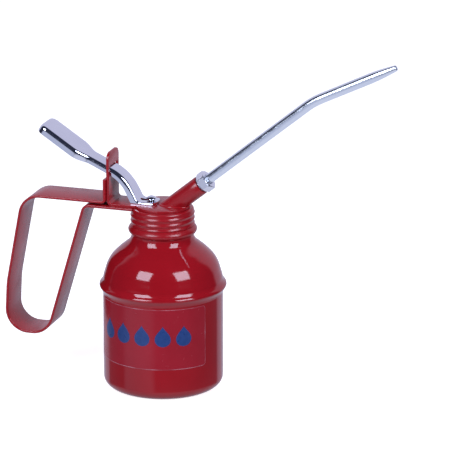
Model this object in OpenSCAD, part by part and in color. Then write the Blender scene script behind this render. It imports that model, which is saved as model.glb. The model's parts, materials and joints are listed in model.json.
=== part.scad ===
// Hand-pumped workshop oil can with a loop handle, a thumb lever and a rigid bent spout.
// Origin: centre of the flat base. +Z up, +X towards the spout tip, handle towards -X. Millimetres.

/* [Can] */
// Outside diameter of the can body
can_d = 70; // [66:1:74]
// Thickness of the can's sheet steel
can_t = 0.6; // [0.5:0.1:0.8]
// Height of the rolled seam between cup and dome
seam_z = 61; // [60:0.5:62]
// Outside radius of the rolled seam
seam_r = 37.1; // [36.6:0.1:37.6]
// Radius of the cup's bottom corner
base_corner_r = 6; // [4:0.5:8]

/* [Label] */
// Lower edge of the label
label_z0 = 19.5; // [12:0.5:24]
// Upper edge of the label
label_z1 = 56; // [48:0.5:56.5]
// Angle that the label wraps around the can
label_angle = 125.4; // [90:0.1:180]

/* [Screw cap] */
// Height of the cap's flat top
cap_top_z = 108; // [108:1:108]
// Radius of the cap wall between its thread ridges
cap_r = 18.2; // [18.1:0.1:18.4]
// Height of the thread ridges over the wall
thread_h = 0.5; // [0.3:0.05:0.5]
// Pitch of the screw thread
thread_pitch = 3.2; // [3:0.1:3.4]
// Radius of the rolled bead at the cap's lower edge
cap_bead_r = 20; // [19.6:0.1:20.2]

/* [Bracket and handle] */
// Thickness of the bracket and handle strips
strip_t = 1.5; // [1.2:0.1:1.6]
// Radius of the bracket's round end on the cap
bracket_r = 16; // [15:0.5:17]
// Width of the upright tab
tab_w = 18.3; // [17:0.1:20]
// Height of the tab's top edge
tab_top_z = 139.5; // [137:0.5:142]
// Width of the lever slot in the tab
slot_w = 14.3; // [14:0.1:14.6]
// Width of the handle strip
handle_w = 22.5; // [20:0.5:24]

/* [Spout] */
// Slope of the spout base and of the tube's lower run
spout_slope = 39.4; // [38:0.1:41]
// Slope of the tube's upper run
tip_slope = 25.9; // [20:0.1:35]
// Outside diameter of the spout tube
tube_d = 6; // [5.6:0.1:6.2]
// Wall thickness of the spout tube
tube_t = 0.8; // [0.6:0.1:1]
// Length of the tube's upper run, from the bend's corner
tip_run = 54; // [40:1:60]
// Diameter of the spout's tip
tip_d = 3.5; // [3.2:0.1:4]
// Hexagon nut's width across its flats
nut_af = 11; // [11:0.1:12.5]

/* [Pump] */
// Position of the pump's axis along X
pump_x = -6.8; // [-6.9:0.1:-6.7]
// Outside diameter of the pump barrel
barrel_d = 16; // [16:0.1:16.2]
// Bore of the pump barrel
bore_d = 14; // [13.9:0.1:14.1]
// Diameter of the pump rod
rod_d = 3; // [2.8:0.1:3.1]
// Diameter of the ball on the rod's end, in the lever's foot
knob_rise = 2.8; // [2.7:0.1:2.9]
// Diameter of the valve balls
ball_d = 4.76; // [4.7:0.02:4.8]

/* [Lever] */
// Thickness of the lever's sheet
lever_t = 1.5; // [1.3:0.1:1.5]
// Width of the thumb pad
pad_w = 20; // [18:0.5:22]
// Width of the lever's neck and foot
neck_w = 13; // [12:0.1:13.2]

/* [Hidden] */
$fn = 96;
eps = 0.01;

can_r = can_d / 2;
seam_half = 4;
neck_r = 18.15;
neck_z = 91;
collar_z = 92.4;

// Neck of the can: a rolled thread that clears the cap's thread at every height of the cap.
neck_thread_r = 16.9;
neck_thread_h = 0.4;
neck_sheet = 0.5;
neck_top_z = cap_top_z - 2.1;
thread_z0 = 97.4;
thread_z1 = 106.4;
cap_t = 0.6;
cap_edge_z = 92.8;
cap_bead_z = 95;

plate_z = cap_top_z + strip_t;
tab_x = -30.6;
bend_r = 2;
tab_round_r = 4.5;
slot_z0 = 125.2;
slot_z1 = 131.3;
slot_round_r = 1.2;

// Spout axis: it leaves the bracket plate at spout_x, and every length along it is counted from there.
spout_x = 7;
base_d = 11.2;
base_len = 21.35;
base_channel_d = 4;
nipple_d = 8;
nipple_s0 = 9;
nipple_s1 = 24.4;
valve_seat_d = 3.4;
nipple_seat_s = 11;
nut_s0 = 22.4;
nut_s1 = 27.6;
nut_wall = 1.1;
washer_t = 0.5;
ferrule_d = 8.8;
ferrule_len = 1.4;
bend_corner_s = 108.45;
tube_bend_r = 45;
taper_len = 23.8;
tip_bore_d = 2;

// Pump stack, from the cap downwards.
head_r = 15.6;
head_z0 = 99.4;
cap_inner_z = cap_top_z - cap_t;
barrel_top_z = 101.4;
barrel_z = 58;
chamber_z1 = 104;
chamber_d = 13;
packing_z0 = 104.8;
packing_z1 = 106.4;
packing_d = 8;
piston_z0 = 70;
piston_z1 = 82;
piston_d = bore_d - 0.16;
seat_t = 2;
seat_d = 9;
pocket_d = 6;
ball_lift = 1;
valve_z = 52;
valve_flange_z = 58;
valve_seat_z = 56;
valve_top_z = 61.2;
cage_t = 0.5;
tube_lower_z = 3.5;
suction_d = 5;
suction_bore_d = 3.6;
suction_top_z = 55;

// Lever: its top line runs from the pad's turned-down end, through the slot, to the foot on the plate.
pivot = [tab_x, 126.8];
lug_r = 1.5;
foot_z = plate_z + 0.1 + lever_t;
pad_x0 = -73.6;
foot_x1 = -2.4;
foot_corner_r = 4.6;
foot_slot_w = 3.6;
foot_slot_x = [-11.6, -6.7];
lever_line = [
    [pad_x0, 149.9, 0], [-70.9, 154.1, 2], [-44, 136.6, 15], [-20.75, 126, 25],
    [-13.47, foot_z, 3], [foot_x1, foot_z, 0]
];

// Handle: the outer face of one bent strip, from behind the tab, round the loop, to the cap.
handle_top_z = plate_z + strip_t;
handle_x0 = tab_x - strip_t / 2 - strip_t;
handle_line = [
    [handle_x0, 124, 0], [handle_x0, handle_top_z, 1], [-83.2, handle_top_z, 13.5], [-93.6, 56, 60],
    [-95.2, 25.7, 13.6], [-67.95, 25.7, 13.4], [-44.2, cap_top_z - strip_t, 3.5],
    [-18.4, cap_top_z - strip_t, 0]
];

paint_red = [0.66, 0.05, 0.1];
chrome = [0.8, 0.81, 0.86];
zinc = [0.62, 0.63, 0.66];
brass = [0.78, 0.62, 0.3];
steel = [0.5, 0.5, 0.52];
rubber = [0.1, 0.1, 0.11];
fibre = [0.45, 0.12, 0.08];
film = [0.85, 0.55, 0.6];

// ---- Geometry helpers ----

function unit(v) = v / norm(v);
function left_of(v) = [-v[1], v[0]];
function turned(v, a) = [v[0] * cos(a) - v[1] * sin(a), v[0] * sin(a) + v[1] * cos(a)];
function xz(p) = [p[0], p[1]];

// Signed angle from direction u to direction v.
function turn_angle(u, v) = atan2(u[0] * v[1] - u[1] * v[0], u * v);

// Points of one rounded corner, each with the direction to its left: [[x, z], [nx, nz]].
function corner(a, b, c, r, steps) =
    let (
        u = unit(b - a),
        turn = turn_angle(u, unit(c - b)),
        side = sign(turn),
        start = b - u * r * tan(abs(turn) / 2),
        centre = start + side * r * left_of(u)
    )
    [for (i = [0:steps])
        let (n = turned(left_of(u), turn * i / steps)) [centre - side * r * n, n]];

// A line of corners [x, z, radius] as points with their left directions.
function smooth_line(line, steps = 8) =
    let (last = len(line) - 1)
    concat(
        [[xz(line[0]), left_of(unit(xz(line[1]) - xz(line[0])))]],
        [for (k = [1:last - 1])
            each corner(xz(line[k - 1]), xz(line[k]), xz(line[k + 1]), line[k][2], steps)],
        [[xz(line[last]), left_of(unit(xz(line[last]) - xz(line[last - 1])))]]
    );

// Both faces of a sheet: the given line and the same line moved to its left by t.
function sheet_outline(path, t) =
    concat(
        [for (p = path) p[0]],
        [for (k = [len(path) - 1:-1:0]) path[k][0] + path[k][1] * t]
    );

// An outline in X and Z, as wide as w along Y.
module side_extrude(w) {
    rotate([90, 0, 0])
        linear_extrude(height = w, center = true)
            children();
}

module ring(r_out, r_in, z0, z1) {
    translate([0, 0, z0])
        difference() {
            cylinder(r = r_out, h = z1 - z0);
            translate([0, 0, -1])
                cylinder(r = r_in, h = z1 - z0 + 2);
        }
}

// Places its children on the spout's lower axis, at a distance s from the plate.
module along_spout(s = 0) {
    translate([spout_x, 0, plate_z])
        rotate([0, 90 - spout_slope, 0])
            translate([0, 0, s])
                children();
}

// Places its children on the pump's axis.
module on_pump() {
    translate([pump_x, 0, 0])
        children();
}

// Height of a ball's centre above the sharp edge of the hole that it rests on.
function ball_rise(d, hole_d) = sqrt(d * d - hole_d * hole_d) / 2;

// A coil spring around the Z axis, as one tube swept along a helix.
module coil(mean_r, wire_r, z0, z1, turns, steps_per_turn = 16, sides = 6) {
    count = turns * steps_per_turn;
    rise = z1 - z0 - 2 * wire_r;
    points = [
        for (i = [0:count], j = [0:sides - 1])
            let (a = 360 * i / steps_per_turn, b = 360 * j / sides, r = mean_r + wire_r * cos(b))
            [r * cos(a), r * sin(a), z0 + wire_r + rise * i / count + wire_r * sin(b)]
    ];
    walls = [
        for (i = [0:count - 1], j = [0:sides - 1])
            let (a = i * sides + j, b = i * sides + (j + 1) % sides)
            each [[a, b, b + sides], [a, b + sides, a + sides]]
    ];
    first_cap = [for (j = [1:sides - 2]) [0, j + 1, j]];
    last_cap = [for (j = [1:sides - 2]) [count * sides, count * sides + j, count * sides + j + 1]];
    polyhedron(points = points, faces = concat(walls, first_cap, last_cap));
}

// A thin stop washer with three flow holes, seen along its axis.
module cage(d) {
    difference() {
        cylinder(d = d, h = cage_t);
        for (a = [0, 120, 240])
            rotate(a)
                translate([d * 0.27, 0, -1])
                    cylinder(d = d * 0.3, h = cage_t + 2);
    }
}

// ---- Can ----

// Outer radius of the dome from the seam to the neck, as [radius, height].
function dome_profile() = [
    [can_r, seam_z + seam_half], [34.6, 67], [33.7, 70], [33.1, 72], [32.3, 74], [31.3, 76],
    [30.0, 78], [28.3, 80], [26.3, 82], [24.0, 84], [21.4, 86], [20.1, 87], [19.2, 88],
    [18.7, 89], [18.3, 90], [neck_r, neck_z], [neck_r, collar_z]
];

function thread_r(z, valley_r, height) =
    valley_r + height * (0.5 + 0.5 * cos(360 * (z - thread_z0 - 1.2) / thread_pitch));

function thread_profile(z0, z1, valley_r, height, step = 0.4) =
    [for (z = [z0:step:z1]) [thread_r(z, valley_r, height), z]];

module can_cup() {
    color(paint_red)
        rotate_extrude()
            difference() {
                union() {
                    square([can_r - base_corner_r, seam_z - 0.2]);
                    translate([0, base_corner_r])
                        square([can_r, seam_z - 0.2 - base_corner_r]);
                    intersection() {
                        translate([can_r - base_corner_r, base_corner_r])
                            circle(r = base_corner_r);
                        square([can_r, base_corner_r]);
                    }
                }
                translate([0, can_t])
                    square([can_r - base_corner_r, seam_z]);
                translate([0, base_corner_r])
                    square([can_r - can_t, seam_z]);
                intersection() {
                    translate([can_r - base_corner_r, base_corner_r])
                        circle(r = base_corner_r - can_t);
                    square([can_r, base_corner_r]);
                }
            }
}

module can_dome() {
    outer = concat(dome_profile(), [[neck_thread_r + 0.2, collar_z + 0.8]],
        thread_profile(collar_z + 1.6, neck_top_z, neck_thread_r, neck_thread_h));
    n = len(outer);
    color(paint_red)
        rotate_extrude() {
            // Dome and neck: the outer line, and the same line moved inwards by the sheet.
            polygon(concat(
                outer,
                [[outer[n - 1][0], neck_top_z], [outer[n - 1][0] - neck_sheet, neck_top_z]],
                [for (k = [n - 1:-1:17]) [outer[k][0] - neck_sheet, outer[k][1]]],
                [for (k = [16:-1:15]) [outer[k][0] - can_t, outer[k][1] - can_t]],
                [for (k = [14:-1:10]) [outer[k][0] - can_t, outer[k][1] - can_t * 0.7]],
                [for (k = [9:-1:0]) [outer[k][0] - can_t, outer[k][1] - can_t * 0.3]],
                [[can_r - can_t, seam_z], [can_r, seam_z]]
            ));
            // Rolled seam over the cup's edge.
            polygon([
                [can_r, seam_z - seam_half], [can_r + 0.35, seam_z - 3], [can_r + 0.85, seam_z - 2],
                [can_r + 1.5, seam_z - 1], [seam_r - 0.15, seam_z - 0.4], [seam_r, seam_z],
                [seam_r, seam_z + 0.5], [seam_r - 0.3, seam_z + 1.2], [can_r + 1.1, seam_z + 2.1],
                [can_r + 0.5, seam_z + 3.1], [can_r, seam_z + seam_half]
            ]);
        }
}

module label() {
    gap = 0.02;
    thickness = 0.12;
    color(film)
        rotate(-90 - label_angle / 2)
            rotate_extrude(angle = label_angle)
                translate([can_r + gap, label_z0])
                    square([thickness, label_z1 - label_z0]);
}

// ---- Screw cap ----

module cap_gasket() {
    color(rubber)
        ring(cap_r - cap_t - 0.2, head_r + 0.1, neck_top_z + eps, cap_inner_z - eps);
}

module screw_cap() {
    wall = concat(
        [[cap_bead_r - 1.1, cap_edge_z], [cap_bead_r - 0.35, 93.8], [cap_bead_r, cap_bead_z],
         [cap_bead_r - 0.4, 96], [cap_r + 0.7, 97]],
        thread_profile(thread_z0, thread_z1, cap_r, thread_h)
    );
    rim = [[cap_r, cap_top_z - 1.4], [cap_r - 0.25, cap_top_z - 0.7], [cap_r - 0.8, cap_top_z - 0.2],
           [cap_r - 1.5, cap_top_z]];
    color(paint_red)
        difference() {
            rotate_extrude()
                polygon(concat(
                    wall, rim, [[0, cap_top_z], [0, cap_inner_z], [cap_r - cap_t, cap_inner_z]],
                    [for (k = [len(wall) - 1:-1:0]) [wall[k][0] - cap_t, wall[k][1]]]
                ));
            on_pump()
                cylinder(d = packing_d - 3, h = 2 * cap_top_z);
            translate([spout_x, 0, 0])
                cylinder(d = base_channel_d, h = 2 * cap_top_z);
        }
}

// ---- Bracket and handle ----

module tab_outline() {
    half = tab_w / 2;
    translate([-half, plate_z + bend_r])
        square([tab_w, tab_top_z - tab_round_r - plate_z - bend_r]);
    translate([tab_round_r - half, plate_z + bend_r])
        square([tab_w - 2 * tab_round_r, tab_top_z - plate_z - bend_r]);
    for (side = [-1, 1])
        translate([side * (half - tab_round_r), tab_top_z - tab_round_r])
            circle(r = tab_round_r);
}

module slot_outline() {
    half = slot_w / 2;
    translate([-half, slot_z0])
        square([slot_w, slot_z1 - slot_z0 - slot_round_r]);
    translate([slot_round_r - half, slot_z0])
        square([slot_w - 2 * slot_round_r, slot_z1 - slot_z0]);
    for (side = [-1, 1])
        translate([side * (half - slot_round_r), slot_z1 - slot_round_r])
            circle(r = slot_round_r);
}

module bracket() {
    tab_face = tab_x - strip_t / 2;
    bend_x = tab_x + strip_t / 2 + bend_r;
    color(paint_red)
        difference() {
            union() {
                translate([0, 0, cap_top_z])
                    cylinder(r = bracket_r, h = strip_t);
                translate([bend_x, -tab_w / 2, cap_top_z])
                    cube([-bend_x, tab_w, strip_t]);
                translate([bend_x, tab_w / 2, plate_z + bend_r])
                    rotate([90, 0, 0])
                        rotate(180)
                            tab_bend();
                translate([tab_face, 0, 0])
                    rotate([90, 0, 90])
                        linear_extrude(height = strip_t)
                            difference() {
                                tab_outline();
                                slot_outline();
                            }
            }
            on_pump()
                cylinder(d = packing_d - 3, h = 2 * cap_top_z);
            translate([spout_x, 0, 0])
                cylinder(d = base_channel_d, h = 2 * cap_top_z);
        }
}

// A quarter turn of strip, as wide as the tab.
module tab_bend() {
    difference() {
        intersection() {
            cylinder(r = bend_r + strip_t, h = tab_w);
            cube([bend_r + strip_t, bend_r + strip_t, tab_w]);
        }
        translate([0, 0, -1])
            cylinder(r = bend_r, h = tab_w + 2);
    }
}

module handle_strip() {
    color(paint_red)
        side_extrude(handle_w)
            polygon(sheet_outline(smooth_line(handle_line), strip_t));
}

// ---- Spout ----

module spout_base() {
    color(paint_red)
        difference() {
            along_spout(-base_d)
                cylinder(d = base_d, h = base_len + base_d);
            translate([-can_d / 2, -can_d / 2, 0])
                cube([can_d, can_d, plate_z]);
            along_spout(-base_d)
                cylinder(d = base_channel_d, h = base_len + 2 * base_d);
            along_spout(nipple_s0)
                cylinder(d = nipple_d, h = base_len);
        }
}

module spout_nipple() {
    color(zinc)
        along_spout()
            ring_with_seat(nipple_d, nipple_s0, nipple_s1, nipple_seat_s);
}

// A round plug with a valve seat part way up and a ball pocket above it.
module ring_with_seat(d, s0, s1, seat_s) {
    translate([0, 0, s0])
        difference() {
            cylinder(d = d, h = s1 - s0);
            translate([0, 0, -1])
                cylinder(d = valve_seat_d, h = s1 - s0 + 2);
            translate([0, 0, seat_s - s0])
                cylinder(d = pocket_d, h = s1 - seat_s + 1);
        }
}

seat_play = 0.03;
rise = ball_rise(ball_d, valve_seat_d) + seat_play;

module outlet_ball() {
    color(steel)
        along_spout(nipple_seat_s + rise)
            sphere(d = ball_d);
}

module outlet_cage() {
    color(brass)
        along_spout(nipple_seat_s + rise + ball_d / 2 + ball_lift + seat_play)
            cage(pocket_d);
}

module spout_washer() {
    color(fibre)
        along_spout(nipple_s1)
            ring(ferrule_d / 2, tube_d / 2 - tube_t, 0, washer_t);
}

module spout_nut() {
    cavity_s = nipple_s1 - 0.2;
    chamfer_d = nut_af * 1.12;
    color(zinc)
        along_spout()
            difference() {
                intersection() {
                    translate([0, 0, nut_s0])
                        cylinder(d = nut_af / cos(30), h = nut_s1 - nut_s0, $fn = 6);
                    translate([0, 0, nut_s0])
                        nut_chamfers(chamfer_d, nut_s1 - nut_s0);
                }
                translate([0, 0, nut_s0 - 1])
                    cylinder(d = nipple_d, h = cavity_s - nut_s0 + 1);
                translate([0, 0, cavity_s])
                    cylinder(d = ferrule_d + 0.4, h = nut_s1 - nut_wall - cavity_s);
                translate([0, 0, nut_s0])
                    cylinder(d = tube_d + 0.16, h = nut_s1 - nut_s0 + 1);
            }
}

// The round envelope that takes the corners off both ends of a hexagon nut.
module nut_chamfers(d, h) {
    edge = 0.9;
    cylinder(d1 = d - edge, d2 = d + 2 * edge, h = 1.5 * edge);
    translate([0, 0, 1.5 * edge])
        cylinder(d = d + 2 * edge, h = h - 3 * edge);
    translate([0, 0, h - 1.5 * edge])
        cylinder(d1 = d + 2 * edge, d2 = d - edge, h = 1.5 * edge);
}

ferrule_s0 = nipple_s1 + washer_t + 0.05;
bend_angle = spout_slope - tip_slope;
bend_start_s = bend_corner_s - tube_bend_r * tan(bend_angle / 2);
upper_run = tip_run - tube_bend_r * tan(bend_angle / 2);

module spout_ferrule() {
    color(chrome)
        along_spout()
            ring(ferrule_d / 2, tube_d / 2, ferrule_s0, ferrule_s0 + ferrule_len);
}

// One solid rod along the tube's bent centre line, with a tapered end.
module bent_rod(d, end_d, extra = 0) {
    translate([0, 0, ferrule_s0 - extra])
        cylinder(d = d, h = bend_start_s - ferrule_s0 + extra + eps);
    translate([tube_bend_r, 0, bend_start_s]) {
        mirror([1, 0, 0])
            rotate([90, 0, 0])
                rotate_extrude(angle = bend_angle)
                    translate([tube_bend_r, 0])
                        circle(d = d);
        rotate([0, bend_angle, 0])
            translate([-tube_bend_r, 0, 0]) {
                translate([0, 0, -eps])
                    cylinder(d = d, h = upper_run - taper_len + eps);
                translate([0, 0, upper_run - taper_len])
                    cylinder(d1 = d, d2 = end_d, h = taper_len);
                if (extra > 0)
                    translate([0, 0, upper_run])
                        cylinder(d = end_d, h = extra);
            }
    }
}

module spout_tube() {
    color(chrome)
        along_spout()
            difference() {
                bent_rod(tube_d, tip_d);
                bent_rod(tube_d - 2 * tube_t, tip_bore_d, 1);
            }
}

// ---- Pump ----

module pump_head() {
    passage_d = 2.2;
    passage_z = 102.8;
    color(zinc)
        difference() {
            translate([0, 0, head_z0])
                cylinder(r = head_r, h = cap_inner_z - head_z0);
            on_pump() {
                translate([0, 0, head_z0 - 1])
                    cylinder(d = barrel_d, h = barrel_top_z - head_z0 + 1);
                translate([0, 0, head_z0])
                    cylinder(d = chamber_d, h = chamber_z1 - head_z0);
                translate([0, 0, chamber_z1 - eps])
                    cylinder(d = packing_d, h = packing_z1 - chamber_z1 + eps);
                translate([0, 0, head_z0])
                    cylinder(d = rod_d + 0.16, h = head_r);
                translate([0, 0, passage_z])
                    rotate([0, 90, 0])
                        cylinder(d = passage_d, h = spout_x - pump_x);
            }
            translate([spout_x, 0, passage_z - passage_d])
                cylinder(d = base_channel_d, h = head_r);
        }
}

module pump_barrel() {
    color(brass)
        on_pump()
            ring(barrel_d / 2, bore_d / 2, barrel_z, barrel_top_z);
}

module rod_packing() {
    color(rubber)
        on_pump()
            ring(packing_d / 2, rod_d / 2 + 0.03, packing_z0, packing_z1);
}

module packing_washer() {
    color(brass)
        on_pump()
            ring(packing_d / 2, rod_d / 2 + 0.2, chamber_z1, packing_z0);
}

module return_spring() {
    color(steel)
        on_pump()
            coil(mean_r = 4.3, wire_r = 0.45, z0 = piston_z1 + 0.1, z1 = chamber_z1 - 0.1, turns = 8);
}

rod_z0 = 78.2;
rod_z1 = foot_z + 1.5;
// The rod's head is a lens. Its underside is part of a ball that rides on the edges of the foot's slot.
knob_under_r = 4.5;
knob_dome_r = 3.9;
knob_under_z = foot_z + ball_rise(2 * knob_under_r, foot_slot_w) + 0.15;

module pump_rod() {
    color(steel)
        on_pump()
            translate([0, 0, rod_z0])
                cylinder(d = rod_d, h = rod_z1 - rod_z0);
}

module rod_knob() {
    color(chrome)
        on_pump()
            difference() {
                intersection() {
                    translate([0, 0, knob_under_z])
                        sphere(r = knob_under_r);
                    translate([0, 0, foot_z + knob_rise - knob_dome_r])
                        sphere(r = knob_dome_r);
                }
                translate([0, 0, rod_z0])
                    cylinder(d = rod_d, h = rod_z1 - rod_z0);
            }
}

groove_z0 = 78.2;
groove_z1 = 80.3;
groove_r = 5.05;
seal_wire_r = 0.95;

module piston_body() {
    color(brass)
        on_pump()
            difference() {
                translate([0, 0, piston_z0])
                    cylinder(d = piston_d, h = piston_z1 - piston_z0);
                ring(piston_d, groove_r, groove_z0, groove_z1);
                translate([0, 0, piston_z0 - 1])
                    cylinder(d = seat_d, h = seat_t + 1);
                translate([0, 0, piston_z0])
                    cylinder(d = pocket_d, h = 7.6);
                translate([0, 0, rod_z0])
                    cylinder(d = rod_d, h = piston_z1);
                for (a = [0, 90, 180, 270])
                    rotate(a)
                        translate([3.5, 0, piston_z0 + 5])
                            cylinder(d = 1.8, h = piston_z1);
            }
}

module piston_seal() {
    color(rubber)
        on_pump()
            translate([0, 0, (groove_z0 + groove_z1) / 2])
                rotate_extrude()
                    translate([groove_r + seal_wire_r + eps, 0])
                        circle(r = seal_wire_r, $fn = 32);
}

module piston_seat() {
    color(brass)
        on_pump()
            ring(seat_d / 2, valve_seat_d / 2, piston_z0, piston_z0 + seat_t);
}

module piston_ball() {
    color(steel)
        on_pump()
            translate([0, 0, piston_z0 + seat_t + rise])
                sphere(d = ball_d);
}

module foot_valve() {
    color(zinc)
        on_pump()
            difference() {
                union() {
                    translate([0, 0, valve_z])
                        cylinder(d = barrel_d, h = valve_flange_z - valve_z);
                    translate([0, 0, valve_flange_z])
                        cylinder(d = bore_d, h = valve_top_z - valve_flange_z);
                }
                translate([0, 0, valve_z - 1])
                    cylinder(d = valve_seat_d, h = valve_top_z);
                translate([0, 0, valve_z - 1])
                    cylinder(d = suction_d, h = suction_top_z - valve_z + 1);
                translate([0, 0, valve_seat_z])
                    cylinder(d = pocket_d, h = valve_top_z);
            }
}

module inlet_ball() {
    color(steel)
        on_pump()
            translate([0, 0, valve_seat_z + rise])
                sphere(d = ball_d);
}

module inlet_cage() {
    color(brass)
        on_pump()
            translate([0, 0, valve_top_z])
                cage(bore_d);
}

module suction_tube() {
    color(brass)
        on_pump()
            ring(suction_d / 2, suction_bore_d / 2, tube_lower_z, suction_top_z);
}

// ---- Lever ----

pad_depth = 5;
neck_depth = 4;
pad_corner_r = 4.2;
wall_x0 = -66;

// Depth of the lever's side walls, square to its top line, at a place x along it. The pad's end wall is
// the line's own first stretch, so the side walls' lower edge starts at wall_x0 and runs straight to it.
function wall_depth(x) =
    x < -48 ? pad_depth
    : x < -42 ? pad_depth - (pad_depth - neck_depth) * (x + 48) / 6
    : neck_depth;

// Half of the lever's outline seen from above, drawn in by m, as corners for smooth_line.
function lever_half_plan(m) = [
    [pad_x0 + m, 0, 0], [pad_x0 + m, pad_w / 2 - m, pad_corner_r - m], [-49 - m / 4, pad_w / 2 - m, 5],
    [-43 - m / 4, neck_w / 2 - m, 5], [foot_x1, neck_w / 2 - m, foot_corner_r - m], [foot_x1, 0, 0]
];

module lever_plan(m) {
    half = [for (p = smooth_line(lever_half_plan(m), 6)) p[0]];
    translate([0, 0, plate_z - 1])
        linear_extrude(height = 60) {
            polygon(half);
            mirror([0, 1])
                polygon(half);
        }
}

module lever() {
    path = smooth_line(lever_line);
    last = len(path) - 1;
    color(chrome)
        difference() {
            union() {
                intersection() {
                    lever_plan(0);
                    side_extrude(2 * pad_w)
                        polygon(concat(
                            [for (p = path) p[0]],
                            [for (k = [last:-1:0])
                                if (path[k][0][0] > wall_x0)
                                    path[k][0] - path[k][1] * wall_depth(path[k][0][0])]
                        ));
                }
                for (side = [-1, 1])
                    translate([pivot[0], side * (neck_w - lever_t) / 2, pivot[1]])
                        rotate([90, 0, 0])
                            cylinder(r = lug_r, h = lever_t, center = true);
            }
            intersection() {
                lever_plan(lever_t);
                side_extrude(2 * pad_w)
                    polygon(concat(
                        [for (p = path) p[0] - p[1] * lever_t],
                        [[foot_x1 + 1, plate_z - 1], [pad_x0, plate_z - 1]]
                    ));
            }
            // Room for the plate below.
            translate([-can_d, -can_d / 2, plate_z + 0.1 - can_d])
                cube([2 * can_d, can_d, can_d]);
            // Slot for the pump rod.
            for (x = foot_slot_x)
                translate([x, 0, plate_z - 1])
                    cylinder(d = foot_slot_w, h = 8);
            translate([foot_slot_x[0], -foot_slot_w / 2, plate_z - 1])
                cube([foot_slot_x[1] - foot_slot_x[0], foot_slot_w, 8]);
        }
}

can_cup();
can_dome();
label();
cap_gasket();
screw_cap();
bracket();
handle_strip();
spout_base();
spout_nipple();
outlet_ball();
outlet_cage();
spout_washer();
spout_nut();
spout_ferrule();
spout_tube();
pump_head();
pump_barrel();
rod_packing();
packing_washer();
return_spring();
pump_rod();
rod_knob();
piston_body();
piston_seal();
piston_seat();
piston_ball();
foot_valve();
inlet_ball();
inlet_cage();
suction_tube();
lever();
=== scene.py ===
"""Looks for a red pump oil can: visible pieces, materials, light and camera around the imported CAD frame.

Lengths are written in millimetres and turned into metres when a mesh is made.
"""
import json
import math

import bmesh
import bpy
from mathutils import Matrix, Vector


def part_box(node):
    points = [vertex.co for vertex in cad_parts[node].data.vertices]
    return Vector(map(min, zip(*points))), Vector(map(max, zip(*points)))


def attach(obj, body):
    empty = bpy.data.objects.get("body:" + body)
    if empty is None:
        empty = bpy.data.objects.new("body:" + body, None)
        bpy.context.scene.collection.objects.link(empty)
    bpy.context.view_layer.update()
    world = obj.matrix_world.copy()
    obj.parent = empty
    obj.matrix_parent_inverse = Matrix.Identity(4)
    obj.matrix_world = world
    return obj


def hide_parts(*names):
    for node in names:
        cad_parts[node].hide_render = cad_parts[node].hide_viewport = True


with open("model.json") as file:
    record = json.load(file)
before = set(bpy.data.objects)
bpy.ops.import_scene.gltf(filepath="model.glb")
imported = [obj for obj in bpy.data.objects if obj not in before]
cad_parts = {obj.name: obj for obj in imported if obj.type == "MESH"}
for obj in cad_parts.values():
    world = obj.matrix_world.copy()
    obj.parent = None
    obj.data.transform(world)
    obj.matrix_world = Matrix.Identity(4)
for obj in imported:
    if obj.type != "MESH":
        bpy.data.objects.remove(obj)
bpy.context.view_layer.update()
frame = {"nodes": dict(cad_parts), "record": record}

MM = 0.001
NODES = frame["nodes"]

# ---------------------------------------------------------------- sizes from the frame


def corners_mm(node):
    """Lowest and highest corners of a CAD node, in millimetres."""
    low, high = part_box(node)
    return low / MM, high / MM


CUP_HIGH = corners_mm("can_cup")[1]
DOME_HIGH = corners_mm("can_dome")[1]
CAP_HIGH = corners_mm("screw_cap")[1]
LABEL_LOW, LABEL_HIGH = corners_mm("label")
KNOB_LOW, KNOB_HIGH = corners_mm("rod_knob")

CAN_R = CUP_HIGH.x
CAP_TOP = CAP_HIGH.z
STRIP_T = 1.5
PLATE_TOP = CAP_TOP + STRIP_T
SHEET_T = 0.6
POLE_R = 0.001  # radius of a turned shape's profile where it meets the axis

# ---------------------------------------------------------------- curve helpers


def catmull(points, steps):
    """A smooth curve through 2D points, with the given number of steps between neighbours."""
    out = []
    last = len(points) - 1
    for k in range(last):
        p0 = points[max(k - 1, 0)]
        p1, p2 = points[k], points[k + 1]
        p3 = points[min(k + 2, last)]
        for i in range(steps):
            t = i / steps
            out.append(tuple(
                0.5 * (2 * b + (c - a) * t
                       + (2 * a - 5 * b + 4 * c - d) * t ** 2
                       + (3 * b - a - 3 * c + d) * t ** 3)
                for a, b, c, d in zip(p0, p1, p2, p3)))
    out.append(tuple(points[last]))
    return out


def left_of(v):
    """The vector turned a quarter to the left."""
    return Vector((-v.y, v.x))


def turned(v, angle):
    """The vector turned by an angle, to the left."""
    c, s = math.cos(angle), math.sin(angle)
    return Vector((v.x * c - v.y * s, v.x * s + v.y * c))


def rounded_line(corner_list, steps=10):
    """Points of a line of corners (x, z, radius), each with the unit vector to its left."""
    pts = [Vector(c[:2]) for c in corner_list]
    out = [(pts[0], left_of((pts[1] - pts[0]).normalized()))]
    for k in range(1, len(pts) - 1):
        u = (pts[k] - pts[k - 1]).normalized()
        v = (pts[k + 1] - pts[k]).normalized()
        turn = math.atan2(u.x * v.y - u.y * v.x, u.dot(v))
        side = math.copysign(1, turn)
        radius = corner_list[k][2]
        start = pts[k] - u * radius * math.tan(abs(turn) / 2)
        centre = start + left_of(u) * side * radius
        for i in range(steps + 1):
            n = turned(left_of(u), turn * i / steps)
            out.append((centre - n * side * radius, n))
    out.append((pts[-1], left_of((pts[-1] - pts[-2]).normalized())))
    return out


def densified(line, spacing):
    """The same line with extra points on its long straight stretches."""
    out = [line[0]]
    for a, b in zip(line, line[1:]):
        pieces = max(1, math.ceil((b[0] - a[0]).length / spacing))
        for i in range(1, pieces + 1):
            t = i / pieces
            out.append((a[0].lerp(b[0], t), a[1].lerp(b[1], t).normalized()))
    return out


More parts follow.
